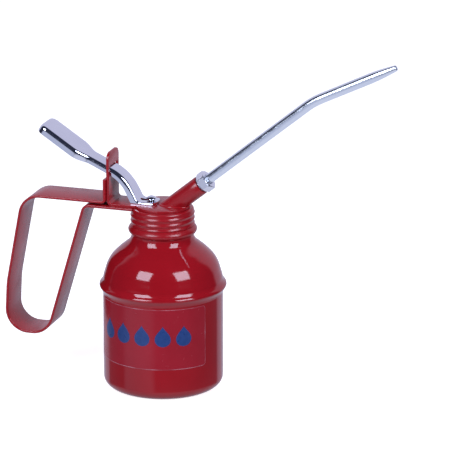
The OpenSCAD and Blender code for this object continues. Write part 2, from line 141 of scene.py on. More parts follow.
def smoothstep(a, b, x):
    """0 before a, 1 after b, and a smooth rise between them."""
    t = min(max((x - a) / (b - a), 0), 1)
    return t * t * (3 - 2 * t)


# ---------------------------------------------------------------- mesh helpers


def mesh_object(name, verts, faces, material, sharp_deg=38):
    """An object from vertices in millimetres, smooth except along edges sharper than sharp_deg."""
    mesh = bpy.data.meshes.new(name)
    mesh.from_pydata([Vector(v) * MM for v in verts], [], faces)
    mesh.validate()
    obj = bpy.data.objects.new(name, mesh)
    bpy.context.scene.collection.objects.link(obj)
    tidy_normals(obj, sharp_deg)
    mesh.materials.append(material)
    return obj


def tidy_normals(obj, sharp_deg=38):
    """Merges doubled vertices, turns every face outwards and smooths the shading."""
    bm = bmesh.new()
    bm.from_mesh(obj.data)
    bmesh.ops.remove_doubles(bm, verts=bm.verts, dist=1e-6)
    bmesh.ops.recalc_face_normals(bm, faces=bm.faces)
    bm.to_mesh(obj.data)
    bm.free()
    smooth_by_angle(obj, sharp_deg)


def apply_modifiers(obj):
    """Turns an object's modifiers into its mesh."""
    bpy.context.view_layer.update()
    graph = bpy.context.evaluated_depsgraph_get()
    mesh = bpy.data.meshes.new_from_object(obj.evaluated_get(graph))
    old = obj.data
    obj.modifiers.clear()
    obj.data = mesh
    bpy.data.meshes.remove(old)


def add_bevel(obj, width_mm, angle_deg):
    bevel = obj.modifiers.new("bevel", "BEVEL")
    bevel.width = width_mm * MM
    bevel.segments = 3
    bevel.limit_method = "ANGLE"
    bevel.angle_limit = math.radians(angle_deg)
    bevel.use_clamp_overlap = True


def smooth_by_angle(obj, degrees):
    """Smooth shading, except along edges sharper than the angle."""
    obj.data.polygons.foreach_set("use_smooth", [True] * len(obj.data.polygons))
    obj.data.set_sharp_from_angle(angle=math.radians(degrees))


def place(obj, body, slot, *nodes):
    """Rides a piece on its body and hides the CAD nodes it stands for. The slot argument is not used."""
    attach(obj, body)
    if nodes:
        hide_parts(*nodes)
    return obj


def ring_faces(rings, count, around=False, closed=True):
    """Quads between neighbouring rings of count vertices. Around joins the last ring to the first."""
    faces = []
    for i in range(rings if around else rings - 1):
        j = (i + 1) % rings
        for k in range(count if closed else count - 1):
            m = (k + 1) % count
            faces.append((i * count + k, j * count + k, j * count + m, i * count + m))
    return faces


def lathe(name, profile, material, segments, shift=None, closed=True):
    """A turned shape round the Z axis from (radius, height) points.

    shift(angle, height, k) moves the radius of point k. A profile that isn't closed runs from pole to pole.
    """
    verts = []
    for s in range(segments):
        angle = 2 * math.pi * s / segments
        for k, (r, z) in enumerate(profile):
            radius = r + (shift(angle, z, k) if shift and r > 0 else 0)
            verts.append((radius * math.cos(angle), radius * math.sin(angle), z))
    return mesh_object(name, verts, ring_faces(segments, len(profile), True, closed), material)


def sweep(name, line, section, material):
    """A bar swept along a line of XZ points with their normals.

    The section is a loop of (y, v), with v along the normal.
    """
    verts = []
    for point, normal in line:
        for y, v in section:
            verts.append((point.x + normal.x * v, y, point.y + normal.y * v))
    count = len(section)
    faces = ring_faces(len(line), count)
    faces.append(tuple(range(count)))
    faces.append(tuple(len(verts) - 1 - k for k in range(count)))
    return mesh_object(name, verts, faces, material)


def refined_copy(node, name, material, bevel_mm):
    """A CAD node's own shape with its flat faces merged and its edges rounded."""
    obj = bpy.data.objects.new(name, NODES[node].data.copy())
    bpy.context.scene.collection.objects.link(obj)
    bm = bmesh.new()
    bm.from_mesh(obj.data)
    bmesh.ops.remove_doubles(bm, verts=bm.verts, dist=2e-6)
    bmesh.ops.dissolve_limit(
        bm, angle_limit=math.radians(0.6), verts=bm.verts, edges=bm.edges, delimit=set())
    bm.to_mesh(obj.data)
    bm.free()
    obj.data.materials.clear()
    obj.data.materials.append(material)
    add_bevel(obj, bevel_mm, 28)
    apply_modifiers(obj)
    smooth_by_angle(obj, 35)
    return obj


# ---------------------------------------------------------------- materials


def color_sockets(sockets):
    """The colour sockets of a Mix node, which also has sockets for numbers and vectors."""
    return [s for s in sockets if s.type == "RGBA"]


class Nodes:
    """A material's node tree with short calls for the nodes used here."""

    def __init__(self, name):
        self.material = bpy.data.materials.new(name)
        self.material.use_nodes = True
        self.tree = self.material.node_tree
        self.shader = self.tree.nodes["Principled BSDF"]
        self.coords = self.tree.nodes.new("ShaderNodeTexCoord").outputs["Object"]

    def set(self, **values):
        for key, value in values.items():
            socket = self.shader.inputs[key.replace("_", " ")]
            socket.default_value = (*value, 1) if isinstance(value, tuple) else value

    def link(self, output, socket):
        self.tree.links.new(output, self.shader.inputs[socket])

    def noise(self, scale, detail=3, stretch=None):
        """Noise of the given scale per metre, stretched along an axis where asked."""
        vector = self.coords
        if stretch:
            mapping = self.tree.nodes.new("ShaderNodeMapping")
            mapping.inputs["Scale"].default_value = stretch
            self.tree.links.new(vector, mapping.inputs["Vector"])
            vector = mapping.outputs["Vector"]
        node = self.tree.nodes.new("ShaderNodeTexNoise")
        node.inputs["Scale"].default_value = scale
        node.inputs["Detail"].default_value = detail
        self.tree.links.new(vector, node.inputs["Vector"])
        return node.outputs["Fac"]

    def remap(self, value, low, high, to_low, to_high):
        """A value moved from one range to another and held inside it."""
        node = self.tree.nodes.new("ShaderNodeMapRange")
        ends = {"From Min": low, "From Max": high, "To Min": to_low, "To Max": to_high}
        for key, number in ends.items():
            node.inputs[key].default_value = number
        self.tree.links.new(value, node.inputs["Value"])
        return node.outputs["Result"]

    def mix(self, factor, a, b):
        """A blend of two colours by a factor."""
        node = self.tree.nodes.new("ShaderNodeMix")
        node.data_type = "RGBA"
        for socket, color in zip(color_sockets(node.inputs), (a, b)):
            socket.default_value = (*color, 1)
        self.tree.links.new(factor, node.inputs["Factor"])
        return color_sockets(node.outputs)[0]

    def bump(self, height, distance_mm, strength, previous=None):
        node = self.tree.nodes.new("ShaderNodeBump")
        node.inputs["Distance"].default_value = distance_mm * MM
        node.inputs["Strength"].default_value = strength
        self.tree.links.new(height, node.inputs["Height"])
        if previous:
            self.tree.links.new(previous, node.inputs["Normal"])
        return node.outputs["Normal"]


def enamel(name, gloss):
    """Red stove enamel: slow colour drift, faint orange peel, a little haze in the gloss."""
    m = Nodes(name)
    m.set(Metallic=0.0, IOR=1.5)
    drift = m.remap(m.noise(35, 2), 0.35, 0.65, 0, 1)
    m.link(m.mix(drift, (0.315, 0.0055, 0.010), (0.35, 0.0068, 0.0125)), "Base Color")
    m.link(m.remap(m.noise(120, 4), 0.3, 0.7, gloss, gloss * 1.6), "Roughness")
    peel = m.bump(m.noise(420, 2), 0.004, 0.5)
    m.link(m.bump(m.noise(60, 2), 0.03, 0.35, peel), "Normal")
    return m.material


def plate(name, light, dark, rough, grain=(1, 1, 1), grain_scale=900, grain_mm=0.003):
    """Bright metal plating with fine polishing marks and slow changes of tone and gloss."""
    m = Nodes(name)
    m.set(Metallic=1.0)
    tone = m.remap(m.noise(45, 3), 0.3, 0.7, 0, 1)
    m.link(m.mix(tone, light, dark), "Base Color")
    m.link(m.remap(m.noise(160, 5), 0.3, 0.7, rough * 0.7, rough * 1.4), "Roughness")
    m.link(m.bump(m.noise(grain_scale, 4, grain), grain_mm, 0.6), "Normal")
    return m.material


def dull(name, light, dark, rough, scale=300, bump_mm=0.02):
    """Rubber or fibre: matt, with a fine grain."""
    m = Nodes(name)
    grain = m.noise(scale, 5)
    m.link(m.mix(m.remap(grain, 0.3, 0.7, 0, 1), light, dark), "Base Color")
    m.link(m.remap(grain, 0.3, 0.7, rough, min(rough + 0.15, 1)), "Roughness")
    m.link(m.bump(grain, bump_mm, 0.5), "Normal")
    return m.material


def film():
    """Clear film over the red paint: a touch paler than the paint, with a soft gloss and fine waves."""
    m = Nodes("label_film")
    m.set(IOR=1.45)
    drift = m.remap(m.noise(50, 3), 0.3, 0.7, 0, 1)
    m.link(m.mix(drift, (0.325, 0.0095, 0.019), (0.36, 0.012, 0.023)), "Base Color")
    m.link(m.remap(m.noise(300, 4), 0.3, 0.7, 0.16, 0.28), "Roughness")
    m.link(m.bump(m.noise(260, 3), 0.010, 0.4), "Normal")
    return m.material


def film_edge_highlight():
    """The cut edge of the film: paler than the film as a painted highlight, broken up along its length."""
    m = Nodes("label_film_edge_highlight")
    m.set(IOR=1.45)
    broken = m.remap(m.noise(140, 3), 0.38, 0.62, 0, 1)
    # Painted highlight: the pale colour stands in for the light that the film's cut edge catches.
    m.link(m.mix(broken, (0.36, 0.05, 0.07), (0.50, 0.22, 0.26)), "Base Color")
    m.link(m.remap(m.noise(300, 4), 0.3, 0.7, 0.3, 0.5), "Roughness")
    return m.material


def ink():
    """Blue printed ink on the label, slightly uneven."""
    m = Nodes("label_ink")
    grain = m.remap(m.noise(500, 4), 0.3, 0.7, 0, 1)
    m.link(m.mix(grain, (0.012, 0.043, 0.165), (0.020, 0.058, 0.205)), "Base Color")
    m.link(m.remap(m.noise(300, 4), 0.3, 0.7, 0.25, 0.4), "Roughness")
    return m.material


RED = enamel("red_enamel", 0.07)
RED_SATIN = enamel("red_enamel_satin", 0.19)
CHROME = plate("chrome_plate", (0.78, 0.79, 0.87), (0.72, 0.73, 0.82), 0.09)
TUBE_PLATE = plate("tube_plate", (0.86, 0.90, 0.96), (0.80, 0.85, 0.93), 0.20)
ZINC = plate("zinc_plate", (0.88, 0.89, 0.95), (0.80, 0.81, 0.88), 0.28, (1, 1, 1), 700, 0.006)
BRASS = plate("brass", (0.78, 0.60, 0.28), (0.70, 0.52, 0.23), 0.26, (1, 1, 12), 400, 0.006)
STEEL = plate("drawn_steel", (0.60, 0.60, 0.63), (0.50, 0.50, 0.53), 0.22, (1, 1, 10), 500, 0.005)
RUBBER = dull("seal_rubber", (0.018, 0.018, 0.019), (0.035, 0.035, 0.036), 0.6)
FIBRE = dull("vulcanised_fibre", (0.34, 0.07, 0.04), (0.26, 0.05, 0.03), 0.7, 500)
FILM = film()
FILM_EDGE_HIGHLIGHT = film_edge_highlight()
INK = ink()
SLOT_MATERIALS = {
    "red_paint": RED, "chrome_plate": CHROME, "zinc_plate": ZINC, "brass": BRASS, "steel": STEEL,
    "seal_rubber": RUBBER, "fibre": FIBRE, "label_film": FILM,
}

for entry in frame["record"]["subparts"]:
    cad_node = NODES[entry["node"]]
    cad_node.data.materials.clear()
    cad_node.data.materials.append(SLOT_MATERIALS[entry["material_slot"]])
    smooth_by_angle(cad_node, 32)

# ---------------------------------------------------------------- can

TURNED_SEGMENTS = 192
CORNER_R = 6
SEAM_Z = 61
WALL_TOP = CUP_HIGH.z
DOME_LINE = [
    (CAN_R, SEAM_Z + 4), (34.6, 67), (33.7, 70), (32.4, 74), (30.1, 78), (26.3, 82), (24.0, 84), (21.5, 86),
    (19.4, 88), (18.45, 90), (18.15, 91), (18.15, 92.4),
]
NECK_VALLEY_R = 16.9
NECK_RIDGE = 0.4
NECK_TOP = DOME_HIGH.z
PITCH = 3.2


def arc(centre, radius, start_deg, end_deg, steps):
    """Points of an arc in the profile plane."""
    angles = [math.radians(start_deg + (end_deg - start_deg) * i / steps) for i in range(steps + 1)]
    return [(centre[0] + radius * math.cos(a), centre[1] + radius * math.sin(a)) for a in angles]


def build_cup():
    """Drawn cup: a flat base with a shallow stamped ring, a round corner and a thin wall."""
    rr = CAN_R - CORNER_R
    stamp = [(16, 0), (16.8, 0.15), (17.6, 0.45), (20.4, 0.45), (21.2, 0.15), (22, 0)]
    outer = [(POLE_R, 0)] + stamp + arc((rr, CORNER_R), CORNER_R, -90, 0, 12)
    outer += [(CAN_R, z) for z in (15, 30, 45, WALL_TOP)]
    inner = [(CAN_R - SHEET_T, WALL_TOP)] + arc((rr, CORNER_R), CORNER_R - SHEET_T, 0, -90, 12)
    inner += [(r, z + SHEET_T) for r, z in reversed(stamp)] + [(POLE_R, SHEET_T)]
    cup = lathe("can_cup_shell", outer + inner, RED, TURNED_SEGMENTS, closed=False)
    return place(cup, "can", "red_paint", "can_cup")


def build_dome():
    """Dome and rolled seam, with the rolled screw thread on the neck."""
    seam_r = DOME_HIGH.y
    seam = [(CAN_R + 0.02, SEAM_Z - 4), (CAN_R + 0.3, SEAM_Z - 3.75), (CAN_R + 0.45, SEAM_Z - 3),
            (CAN_R + 0.9, SEAM_Z - 2), (CAN_R + 1.55, SEAM_Z - 0.95), (CAN_R + 1.95, SEAM_Z - 0.3),
            (seam_r - 0.03, SEAM_Z + 0.2), (seam_r - 0.12, SEAM_Z + 0.8), (CAN_R + 1.55, SEAM_Z + 1.5),
            (CAN_R + 1.0, SEAM_Z + 2.1), (CAN_R + 0.5, SEAM_Z + 2.9), (CAN_R + 0.15, SEAM_Z + 3.6)]
    dome = catmull(DOME_LINE, 4)
    shoulder = [(17.9, 92.9), (NECK_VALLEY_R, 93.6)]
    thread_steps = 64
    thread_z0, thread_z1 = 94, NECK_TOP - 0.3
    thread = [(NECK_VALLEY_R, thread_z0 + (thread_z1 - thread_z0) * i / thread_steps)
              for i in range(thread_steps + 1)]
    outer = catmull(seam, 3)[:-1] + dome + shoulder + thread + [(NECK_VALLEY_R - 0.1, NECK_TOP)]
    inner = [(NECK_VALLEY_R - 0.5, NECK_TOP), (NECK_VALLEY_R - 0.5, 93)]
    inner += [(r - SHEET_T, z - SHEET_T * 0.4) for r, z in reversed(dome)] + [(CAN_R - SHEET_T, SEAM_Z)]
    last = len(outer) - 2
    first = last - thread_steps

    def ridge(angle, z, k):
        if not first <= k <= last:
            return 0
        fade = smoothstep(94.5, 96, z) * (1 - smoothstep(NECK_TOP - 1.6, NECK_TOP - 0.4, z))
        wave = 0.5 + 0.5 * math.cos(2 * math.pi * (z / PITCH) - angle)
        return NECK_RIDGE * fade * wave ** 1.3

    obj = lathe("can_dome_shell", outer + inner, RED, TURNED_SEGMENTS, ridge)
    return place(obj, "can", "red_paint", "can_dome")


def bent_sheet(name, rows, material, radius, thickness):
    """A sheet wrapped on the can, from rows of (arc length, height). Arc length starts at the front."""
    verts, faces = [], []
    for level in (radius, radius + thickness):
        for row in rows:
            for s, z in row:
                angle = -math.pi / 2 + s / CAN_R
                verts.append((level * math.cos(angle), level * math.sin(angle), z))
    n, m = len(rows), len(rows[0])
    half = n * m
    for i in range(n - 1):
        for k in range(m - 1):
            a = i * m + k
            faces.append((a, a + 1, a + m + 1, a + m))
            faces.append((half + a, half + a + m, half + a + m + 1, half + a + 1))
    edge = [k for k in range(m)] + [i * m + m - 1 for i in range(1, n)]
    edge += [(n - 1) * m + k for k in range(m - 2, -1, -1)] + [i * m for i in range(n - 2, 0, -1)]
    for a, b in zip(edge, edge[1:] + edge[:1]):
        faces.append((a, half + a, half + b, b))
    return mesh_object(name, verts, faces, material, 50)


LABEL_R = CAN_R + 0.02
LABEL_T = 0.1
LABEL_ARC = math.radians(125.4) * CAN_R
LABEL_CORNER = 2.0


def build_label():
    """Clear film with round corners."""
    corner = LABEL_CORNER
    z0, z1 = LABEL_LOW.z, LABEL_HIGH.z
    levels = [0, 0.15, 0.35, 0.6, 1.0, 1.5, 2.0]
    heights = [z0 + v for v in levels] + [(z0 + z1) / 2] + [z1 - v for v in reversed(levels)]
    rows = []
    for z in heights:
        near = min(z - z0, z1 - z)
        cut = corner - math.sqrt(max(corner ** 2 - (corner - min(near, corner)) ** 2, 0))
        half = LABEL_ARC / 2 - cut
        rows.append([(-half + 2 * half * k / 60, z) for k in range(61)])
    sheet = bent_sheet("label_film_sheet", rows, FILM, LABEL_R, LABEL_T)
    return place(sheet, "can", "label_film", "label")


def build_label_edge_highlight():
    """The cut edge of the film, with the light it catches painted on as a thin pale line."""
    inset, corner = 0.15, 1.9
    half_width, half_height = 0.14, 0.05
    z0, z1 = LABEL_LOW.z + inset, LABEL_HIGH.z - inset
    half = LABEL_ARC / 2 - inset
    outline = []
    for cs, cz, start in ((half - corner, z1 - corner, 0), (corner - half, z1 - corner, 90),
                          (corner - half, z0 + corner, 180), (half - corner, z0 + corner, 270)):
        for i in range(7):
            a = math.radians(start + 15 * i)
            outline.append(Vector((cs + corner * math.cos(a), cz + corner * math.sin(a))))
    path = []
    for a, b in zip(outline, outline[1:] + outline[:1]):
        pieces = max(1, round((b - a).length / 1.5))
        path += [a.lerp(b, i / pieces) for i in range(pieces)]
    verts, sides = [], 6
    for k, point in enumerate(path):
        along = (path[(k + 1) % len(path)] - path[k - 1]).normalized()
        for i in range(sides):
            phi = 2 * math.pi * i / sides
            flat = point + Vector((-along.y, along.x)) * half_width * math.cos(phi)
            level = LABEL_R + LABEL_T + half_height * math.sin(phi)
            angle = -math.pi / 2 + flat.x / CAN_R
            verts.append((level * math.cos(angle), level * math.sin(angle), flat.y))
    # A thin pale tube along the film's edge that carries the painted highlight.
    edge = mesh_object("label_film_edge_highlight", verts, ring_faces(len(path), sides, True), FILM_EDGE_HIGHLIGHT, 60)
    return place(edge, "can", "label_film")


DROP_COUNT = 5
DROP_SIZE = (9.4, 12.5)
DROP_FIRST = -26
DROP_PITCH = 12.4
DROP_Z = 33.5
INK_T = 0.03


def drop_rows(s):
    """An oil drop at arc length s: round below, drawn to a point above."""
    width, height = DROP_SIZE
    rows = []
    widest = 0.36
    for i in range(29):
        t = i / 28
        if t < widest:
            half = width / 2 * math.sqrt(max(1 - ((t - widest) / widest) ** 2, 0))
        else:
            half = width / 2 * math.cos((t - widest) / (1 - widest) * math.pi / 2) ** 1.3
        half = max(half, 0.03)
        rows.append([(s - half + 2 * half * k / 12, DROP_Z + height * t) for k in range(13)])
    return rows


def build_print():
    """Generic print: a row of oil drops, sunk a little into the film."""
    for k in range(DROP_COUNT):
        rows = drop_rows(DROP_FIRST + DROP_PITCH * k)
        drop = bent_sheet(f"label_drop_{k}", rows, INK, LABEL_R + LABEL_T - 0.01, INK_T)
        place(drop, "can", "label_film")


# ---------------------------------------------------------------- cap

CAP_R = 18.2
CAP_RIDGE = 0.5


def build_cap():
    """Sheet-steel cap with a rolled lower edge and a rolled thread."""
    z0, z1 = 97.4, 106.4
    bead = [(19.0, 92.85), (19.35, 93.15), (19.75, 93.8), (20.0, 94.7), (19.95, 95.4), (19.5, 96.2),
            (18.95, 96.9), (18.5, z0)]
    steps = 72
    wall = [(CAP_R, z0 + (z1 - z0) * i / steps) for i in range(steps + 1)]
    shoulder = [(CAP_R - 0.02, z1 + 0.4), (CAP_R - 0.2, 107.3), (CAP_R - 0.6, 107.75),
                (CAP_R - 1.2, 107.97), (CAP_R - 1.8, CAP_TOP)]
    lower, upper = catmull(bead, 4)[:-1], catmull(shoulder, 3) + [(10, CAP_TOP), (POLE_R, CAP_TOP)]
    outer = lower + wall + upper
    under = CAP_TOP - SHEET_T
    roof = [(POLE_R, under), (10, under), (CAP_R - SHEET_T - 1.2, under), (CAP_R - SHEET_T, CAP_TOP - 1.6)]
    inner = roof + [(CAP_R - SHEET_T, z) for _, z in reversed(wall)]
    inner += [(r - SHEET_T, z + 0.05) for r, z in reversed(bead[:-1])]
    first = len(lower)
    mirror_first = len(outer) + len(roof)

    def ridge(angle, z, k):
        outside = first <= k <= first + steps
        inside = mirror_first <= k <= mirror_first + steps
        if not (outside or inside):
            return 0
        fade = smoothstep(97.0, 98.2, z) * (1 - smoothstep(105.0, 106.4, z))
        wave = 0.5 + 0.5 * math.cos(2 * math.pi * (z - 98.4) / PITCH - angle)
        return CAP_RIDGE * fade * wave ** 1.2

    obj = lathe("screw_cap_shell", outer + inner, RED_SATIN, TURNED_SEGMENTS, ridge)
    return place(obj, "head", "red_paint", "screw_cap")


# ---------------------------------------------------------------- bracket and handle

HANDLE_W = 22.5
HANDLE_X0 = -32.85
HANDLE_LOOP_Z = 25.7
HANDLE_END_R = 18.8
# Corners (x, z, bend radius): up the back of the tab, along the plate, round the loop and back to the cap.
HANDLE_LINE = [
    (HANDLE_X0, 124, 0), (HANDLE_X0, PLATE_TOP + STRIP_T, 1.0), (-83.2, PLATE_TOP + STRIP_T, 13.5),
    (-93.59, 56, 60), (-95.19, HANDLE_LOOP_Z, 13.6), (-67.95, HANDLE_LOOP_Z, 13.4),
    (-44.2, CAP_TOP - STRIP_T, 3.5), (-18.4, CAP_TOP - STRIP_T, 0),
]


def strip_section(width, thickness, edge=0.45, steps=3):
    """Cross-section of a flat strip with softly rounded edges: (y, v) with v from 0 to thickness."""
    out = []
    half = width / 2
    for cy, cv, start in ((half - edge, thickness - edge, 0), (edge - half, thickness - edge, 90),
                          (edge - half, edge, 180), (half - edge, edge, 270)):
        for i in range(steps + 1):
            a = math.radians(start + 90 * i / steps)
            out.append((cy + edge * math.cos(a), cv + edge * math.sin(a)))
    return out


def build_handle():
    """One bent strip with softly rounded edges."""
    line = densified(rounded_line(HANDLE_LINE, 16), 4)
    obj = sweep("handle_loop_strip", line, strip_section(HANDLE_W, STRIP_T), RED_SATIN)
    # The welded end follows the round wall of the cap.
    end_x = HANDLE_LINE[-1][0] * MM
    for vertex in obj.data.vertices:
        if vertex.co.x > end_x - 1e-6:
            vertex.co.x = -math.sqrt((HANDLE_END_R * MM) ** 2 - vertex.co.y ** 2)
    return place(obj, "head", "red_paint", "handle_strip")


def build_bracket():
    """The CAD bracket with its pressed edges rounded."""
    obj = refined_copy("bracket", "bracket_plate", RED_SATIN, 0.3)
    return place(obj, "head", "red_paint", "bracket")


# ---------------------------------------------------------------- spout

SLOPE = math.radians(39.4)
TIP_SLOPE = math.radians(25.9)
SPOUT_X = 7
SPOUT_FRAME = Matrix.Translation(Vector((SPOUT_X, 0, PLATE_TOP)) * MM) @ Matrix.Rotation(
    math.pi / 2 - SLOPE, 4, "Y")


def along_spout(obj):
    """Moves a shape made round the Z axis onto the spout's lower axis."""
    obj.data.transform(SPOUT_FRAME)
    return obj


BASE_R = 5.6
BASE_END = 21.35
NIPPLE_R = 4.0


def build_spout_base():
    """Painted tube, mitred on the plate, with a rounded end."""
    r, end = BASE_R, BASE_END
    profile = [(2.0, -2), (r, -9), (r, 0), (r, 8), (r, 16), (r, end - 0.5), (r - 0.15, end - 0.15),
               (r - 0.5, end), (4.1, end), (NIPPLE_R, end - 0.3), (NIPPLE_R, 9), (2.0, 9)]
    obj = along_spout(lathe("spout_base_tube", profile, RED_SATIN, 96))
    bm = bmesh.new()
    bm.from_mesh(obj.data)
    everything = bm.verts[:] + bm.edges[:] + bm.faces[:]
    plane = Vector((0, 0, PLATE_TOP - 0.02)) * MM
    bmesh.ops.bisect_plane(bm, geom=everything, plane_co=plane, plane_no=(0, 0, 1), clear_inner=True)
    bm.to_mesh(obj.data)
    bm.free()
    tidy_normals(obj)
    return place(obj, "head", "red_paint", "spout_base")


def build_braze_fillet():
    """A soft, slightly uneven bead along the ellipse where the spout base meets the plate."""
    a, b = BASE_R / math.sin(SLOPE), BASE_R
    verts = []
    turns, sides = 96, 10
    for i in range(turns):
        t = 2 * math.pi * i / turns
        radius = 1.0 + 0.15 * math.sin(3 * t + 0.5) + 0.1 * math.sin(7 * t)
        normal = Vector((math.cos(t) / a, math.sin(t) / b)).normalized()
        centre = Vector((SPOUT_X + (a - 0.2) * math.cos(t), (b - 0.2) * math.sin(t)))
        for k in range(sides):
            phi = 2 * math.pi * k / sides
            out = radius * math.cos(phi)
            verts.append((centre.x + normal.x * out, centre.y + normal.y * out,
                          PLATE_TOP - 0.25 + radius * 0.85 * math.sin(phi)))
    obj = mesh_object("spout_braze_fillet", verts, ring_faces(turns, sides, True), RED_SATIN, 60)
    return place(obj, "head", "red_paint")


def build_nipple():
    """Threaded end of the spout base, with a fine cut thread."""
    r, end, depth, pitch = NIPPLE_R, 24.4, 0.3, 1.0
    steps = 60
    s0, s1 = 20.6, end - depth
    start = [(r, 9), (r, 20.5)]
    outer = start + [(r, s0 + (s1 - s0) * i / steps) for i in range(steps + 1)]
    outer += [(r - depth, end), (3.0, end), (3.0, 11), (1.7, 11), (1.7, 9)]

    def thread(angle, s, k):
        if not len(start) <= k <= len(start) + steps:
            return 0
        return -depth * (0.5 + 0.5 * math.cos(2 * math.pi * s / pitch - angle))

    obj = along_spout(lathe("spout_nipple_thread", outer, ZINC, 64, thread))
    return place(obj, "head", "zinc_plate", "spout_nipple")


NUT_AF = 11
NUT_S = (22.4, 27.6)
NUT_BORE = 3.08


def build_nut():
    """Hexagon union nut with 30 degree chamfers on both ends."""
    sides = 120
    height = NUT_S[1] - NUT_S[0]
    flat = NUT_AF / 2
    steps = [0, 0.1, 0.2, 0.32, 0.46, 0.62, 0.85, 1.2]
    levels = steps + [height / 2] + [height - v for v in reversed(steps)]
    rings = [[(4.05, 0.25)] * sides, [(4.3, 0)] * sides]
    for z in levels:
        near = min(z, height - z)
        ring = []
        for k in range(sides):
            share = (k / sides * 6) % 1
            corner = flat / math.cos(math.radians(60 * share - 30))
            corner = min(corner, flat / math.cos(math.radians(30)) - 0.12)
            ring.append((min(corner, flat * 0.955 + near * 1.75), z))
        rings.append(ring)
    for r, z in ((NUT_BORE + 0.3, height), (NUT_BORE, height - 0.3), (NUT_BORE, height - 1)):
        rings.append([(r, z)] * sides)
    verts = []
    for ring in rings:
        for k, (r, z) in enumerate(ring):
            a = 2 * math.pi * k / sides
            verts.append((r * math.cos(a), r * math.sin(a), z + NUT_S[0]))
    obj = along_spout(mesh_object("spout_union_nut", verts, ring_faces(len(rings), sides), ZINC, 14))
    return place(obj, "head", "zinc_plate", "spout_nut")


TUBE_R = 3.0
BORE_R = 2.2
BEND_R = 45
CORNER_S = 108.45
TIP_RUN = 54
TAPER = 18
TIP_R = 1.75
TUBE_S0 = 24.95


def build_tube():
    """Plated tube: straight, one soft bend, straight, then drawn down to a small round tip."""
    foot = Vector((SPOUT_X, PLATE_TOP))
    along = Vector((math.cos(SLOPE), math.sin(SLOPE)))
    corner = foot + along * CORNER_S
    start = foot + along * TUBE_S0
    end = corner + Vector((math.cos(TIP_SLOPE), math.sin(TIP_SLOPE))) * TIP_RUN
    line = densified(rounded_line([(*start, 0), (*corner, BEND_R), (*end, 0)], 14), 3)
    sides = 48
    loops = []
    for point, normal in line:
        left = TIP_RUN - (point - corner).length if point.x > corner.x else TIP_RUN
        radius = TIP_R + (TUBE_R - TIP_R) * math.sin(min(left / TAPER, 1) * math.pi / 2)
        loops.append((point, normal, radius))
    direction = (end - corner).normalized()
    tip_point, tip_normal, tip_radius = loops.pop()
    # The round lip and the start of the bore: distance back from the tip, share of the tip's radius.
    lip = [(0.55, 1.0), (0.25, 0.97), (0.06, 0.88), (0.0, 0.76), (0.06, 0.64), (0.5, 0.58), (12, 0.58)]
    for distance, share in lip:
        loops.append((tip_point - direction * distance, tip_normal, tip_radius * share))
    loops = [(start, line[0][1], BORE_R)] + loops
    verts = []
    for point, normal, radius in loops:
        for k in range(sides):
            a = 2 * math.pi * k / sides
            out = radius * math.cos(a)
            verts.append((point.x + normal.x * out, radius * math.sin(a), point.y + normal.y * out))
    faces = ring_faces(len(loops), sides)
    faces.append(tuple((len(loops) - 1) * sides + k for k in range(sides)))
    obj = mesh_object("spout_tube_drawn", verts, faces, TUBE_PLATE, 60)
    return place(obj, "spout", "chrome_plate", "spout_tube")


# ---------------------------------------------------------------- lever

LEVER_T = 1.5
FOOT_GAP = 0.1
FOOT_TOP = PLATE_TOP + FOOT_GAP + LEVER_T
PAD_HALF = 10.0
NECK_HALF = 6.5
EDGE_R = 2.2
FOOT_EDGE_R = 1.1
PAD_CORNER = 4.4
PAD_INSET = PAD_CORNER - EDGE_R
PAD_WALL = 5.0
NECK_WALL = 4.0
FOOT_CORNER = 4.6
FOOT_END = -2.4
PAD_TOP = Vector((-70.9, 154.1))
PAD_BEND = Vector((-44, 136.6))
PAD_START = PAD_TOP + (PAD_BEND - PAD_TOP).normalized() * EDGE_R
# Corners (x, z, bend radius) of the web's upper face, from the pad to the foot.
LEVER_LINE = [
    (*PAD_START, 0), (*PAD_BEND, 15), (-20.75, 126, 25), (-13.47, FOOT_TOP, 3), (FOOT_END, FOOT_TOP, 0),
]
FOOT_START = -16
ROLL_STEPS = 6
# Columns across the web, as shares of its half width. The slot's edges are columns of their own.
SLOT_HALF = 1.8
SLOT_X = (-11.6, -6.7)
SLOT_SHARE = SLOT_HALF / (NECK_HALF - FOOT_EDGE_R)
COLUMNS = [-1, -0.8, -0.58, -SLOT_SHARE, -0.31, -0.2, -0.1, 0, 0.1, 0.2, 0.31, SLOT_SHARE, 0.58, 0.8, 1]
LUG_PLACE = (-30.6, 126.8)
LUG_R = 1.5


def lever_half_width(x):
    """Half of the outer width at a place x along the lever."""
    return NECK_HALF + (PAD_HALF - NECK_HALF) * (1 - smoothstep(-50.5, -42.0, x))


def lever_edge_radius(x):
    """Radius of the rolled edge at a place x along the lever."""
    return EDGE_R + (FOOT_EDGE_R - EDGE_R) * smoothstep(-20, -14.5, x)


def lever_wall(point, normal):
    """Depth of the side walls: deep along the pad, less on the neck, and cut level just above the plate."""
    depth = NECK_WALL + (PAD_WALL - NECK_WALL) * (1 - smoothstep(-49, -41, point.x))
    return min(depth, (point.y - PLATE_TOP - 0.12) / max(normal.y, 0.05))


def foot_shift(y, x):
    """Where a foot point lies along X: clear of the rod's slot and inside the foot's round end."""
    centre = sum(SLOT_X) / 2
    if abs(y) <= SLOT_HALF + 1e-6:
        reach = math.sqrt(max(SLOT_HALF ** 2 - y ** 2, 0))
        if SLOT_X[0] - reach < x <= centre:
            x = SLOT_X[0] - reach
        elif centre < x < SLOT_X[1] + reach:
            x = SLOT_X[1] + reach
    inset = max(abs(y) - (NECK_HALF - FOOT_CORNER), 0)
    return min(x, FOOT_END - FOOT_CORNER + math.sqrt(FOOT_CORNER ** 2 - inset ** 2))


